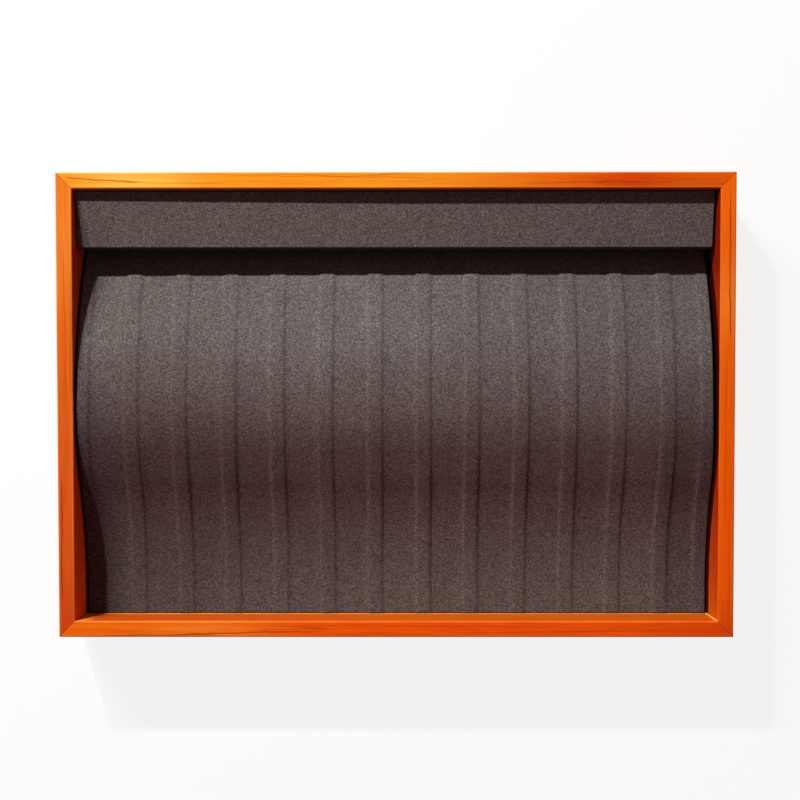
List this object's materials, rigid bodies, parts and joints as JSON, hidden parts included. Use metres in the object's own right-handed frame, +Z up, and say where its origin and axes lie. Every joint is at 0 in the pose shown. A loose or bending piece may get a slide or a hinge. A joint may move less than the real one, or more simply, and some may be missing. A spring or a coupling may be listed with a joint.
{
  "type": "pendant display tray",
  "caption": "Shallow stained-wood tray with a cloth-covered wave insert of ridged lanes for pendants, and a lift-off bar over a well for their chains.",
  "frame": {"origin": "centre of the tray's footprint, on the surface it stands on", "axes": "+X along the long side, +Y towards the rear where the bar lies, +Z up"},
  "size_m": [0.35, 0.24, 0.035],
  "materials": {
    "stained_wood": "orange stain under satin lacquer",
    "plain_wood": "bare, sanded",
    "fibreboard": "bare fibreboard",
    "black_hardboard": "hardboard stained black, matt",
    "greyboard": "matt pressed board",
    "suede": "short-nap suede cloth, grey-brown",
    "felt": "thin black felt",
    "hook_brass": "polished wire",
    "magnet_steel": "nickel-plated block"
  },
  "bodies": {
    "tray": {"rail_front": "stained_wood", "rail_rear": "stained_wood", "rail_left": "stained_wood", "rail_right": "stained_wood", "corner_tongue_1": "plain_wood", "corner_tongue_2": "plain_wood", "corner_tongue_3": "plain_wood", "corner_tongue_4": "plain_wood", "bottom_board": "black_hardboard", "base_lining": "felt"},
    "insert": {"insert_base": "greyboard", "former_1": "fibreboard", "former_2": "fibreboard", "former_3": "fibreboard", "former_4": "fibreboard", "former_5": "fibreboard", "wave_board": "greyboard", "ridge_strip_1": "greyboard", "ridge_strip_2": "greyboard", "ridge_strip_3": "greyboard", "ridge_strip_4": "greyboard", "ridge_strip_5": "greyboard", "ridge_strip_6": "greyboard", "ridge_strip_7": "greyboard", "ridge_strip_8": "greyboard", "ridge_strip_9": "greyboard", "ridge_strip_10": "greyboard", "ridge_strip_11": "greyboard", "ridge_strip_12": "greyboard", "ridge_strip_13": "greyboard", "ridge_strip_14": "greyboard", "bed_cover": "suede", "well_lining": "suede", "hook_rail": "plain_wood", "hook_1": "hook_brass", "hook_2": "hook_brass", "hook_3": "hook_brass", "hook_4": "hook_brass", "hook_5": "hook_brass", "hook_6": "hook_brass", "hook_7": "hook_brass", "hook_8": "hook_brass", "hook_9": "hook_brass", "hook_10": "hook_brass", "hook_11": "hook_brass", "hook_12": "hook_brass", "hook_13": "hook_brass", "bar_rest_left": "plain_wood", "bar_rest_right": "plain_wood", "rest_magnet_left": "magnet_steel", "rest_magnet_right": "magnet_steel"},
    "bar": {"bar_core": "plain_wood", "bar_cover": "suede", "bar_magnet_left": "magnet_steel", "bar_magnet_right": "magnet_steel"}
  },
  "joints": [
    {"name": "insert_lift", "type": "slide", "parent": "tray", "child": "insert", "axis": [0, 0, 1], "range_m": [0, 0.032]},
    {"name": "bar_lift", "type": "slide", "parent": "insert", "child": "bar", "axis": [0, 0, 1], "range_m": [0, 0.016]}
  ]
}
